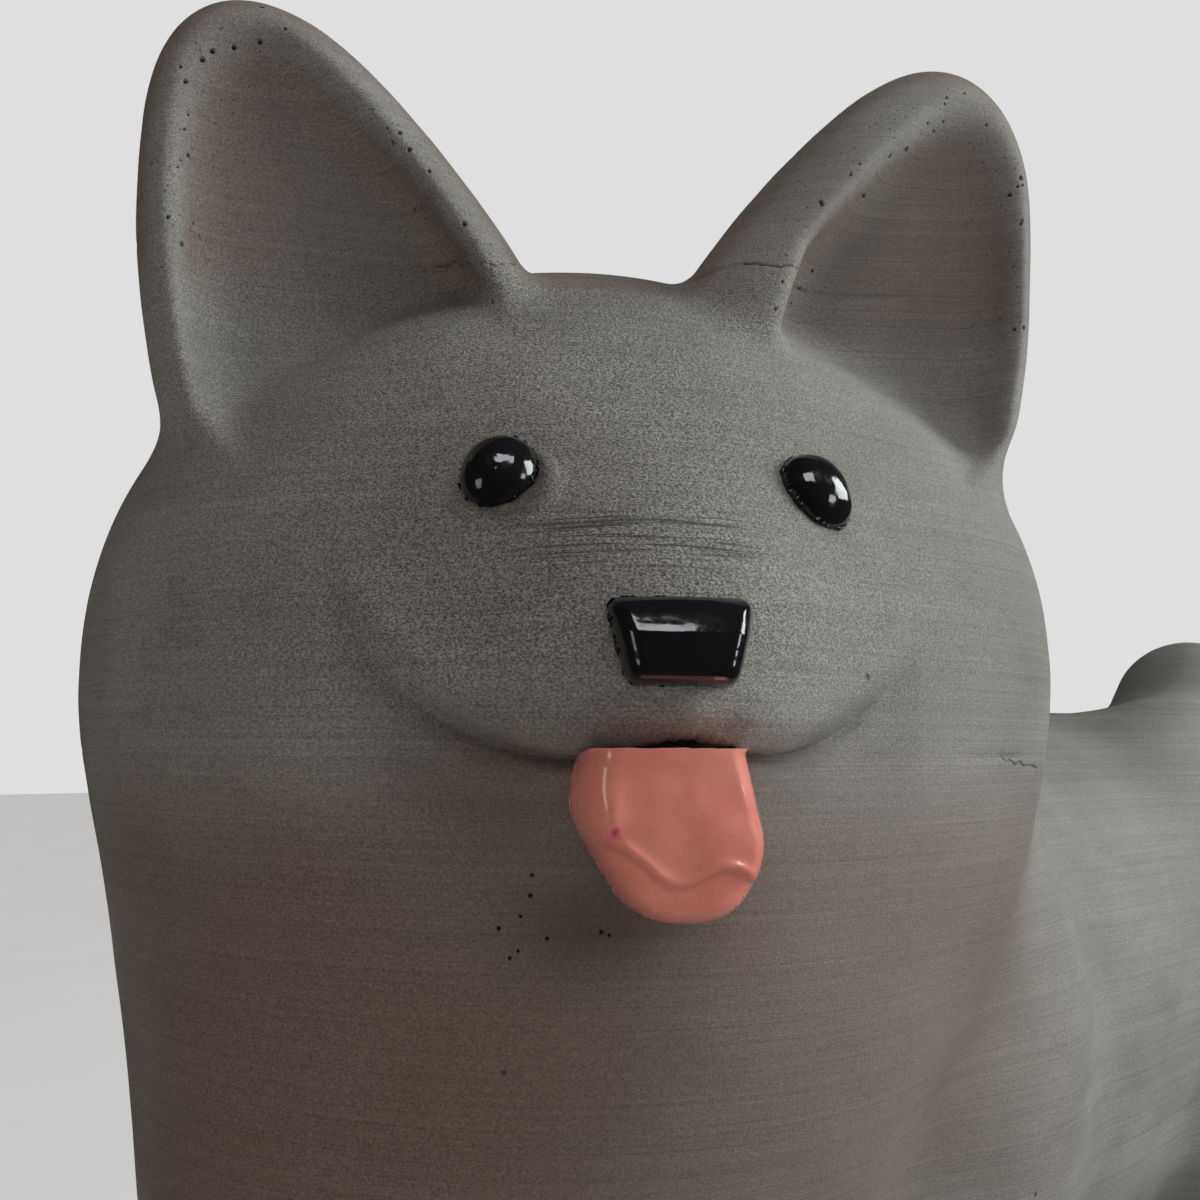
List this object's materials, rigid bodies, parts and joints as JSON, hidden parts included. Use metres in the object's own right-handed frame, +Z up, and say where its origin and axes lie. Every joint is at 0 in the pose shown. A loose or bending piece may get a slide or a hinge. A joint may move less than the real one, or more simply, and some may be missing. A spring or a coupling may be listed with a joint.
{
  "type": "stone dog ornament",
  "caption": "Standing dog ornament cast in grey concrete with its head turned to the side, upright scooped ears, inset gloss eyes and nose, and a gloss tongue.",
  "frame": {"origin": "on the ground in the middle of the box round the dog", "axes": "+Z up, the trunk heads along -Y, +X to the dog's left"},
  "size_m": [0.1182, 0.2595, 0.2623],
  "materials": {
    "concrete": "matt cast concrete with fine mould lines",
    "black_gloss": "gloss black",
    "coral_gloss": "gloss coral pink",
    "steel": "plain drawn rod"
  },
  "bodies": {
    "root": {"casting": "concrete", "eye_left": "black_gloss", "eye_right": "black_gloss", "nose": "black_gloss", "tongue": "coral_gloss", "front_left_rod": "steel", "front_right_rod": "steel", "hind_left_rod": "steel", "hind_right_rod": "steel"}
  },
  "joints": []
}
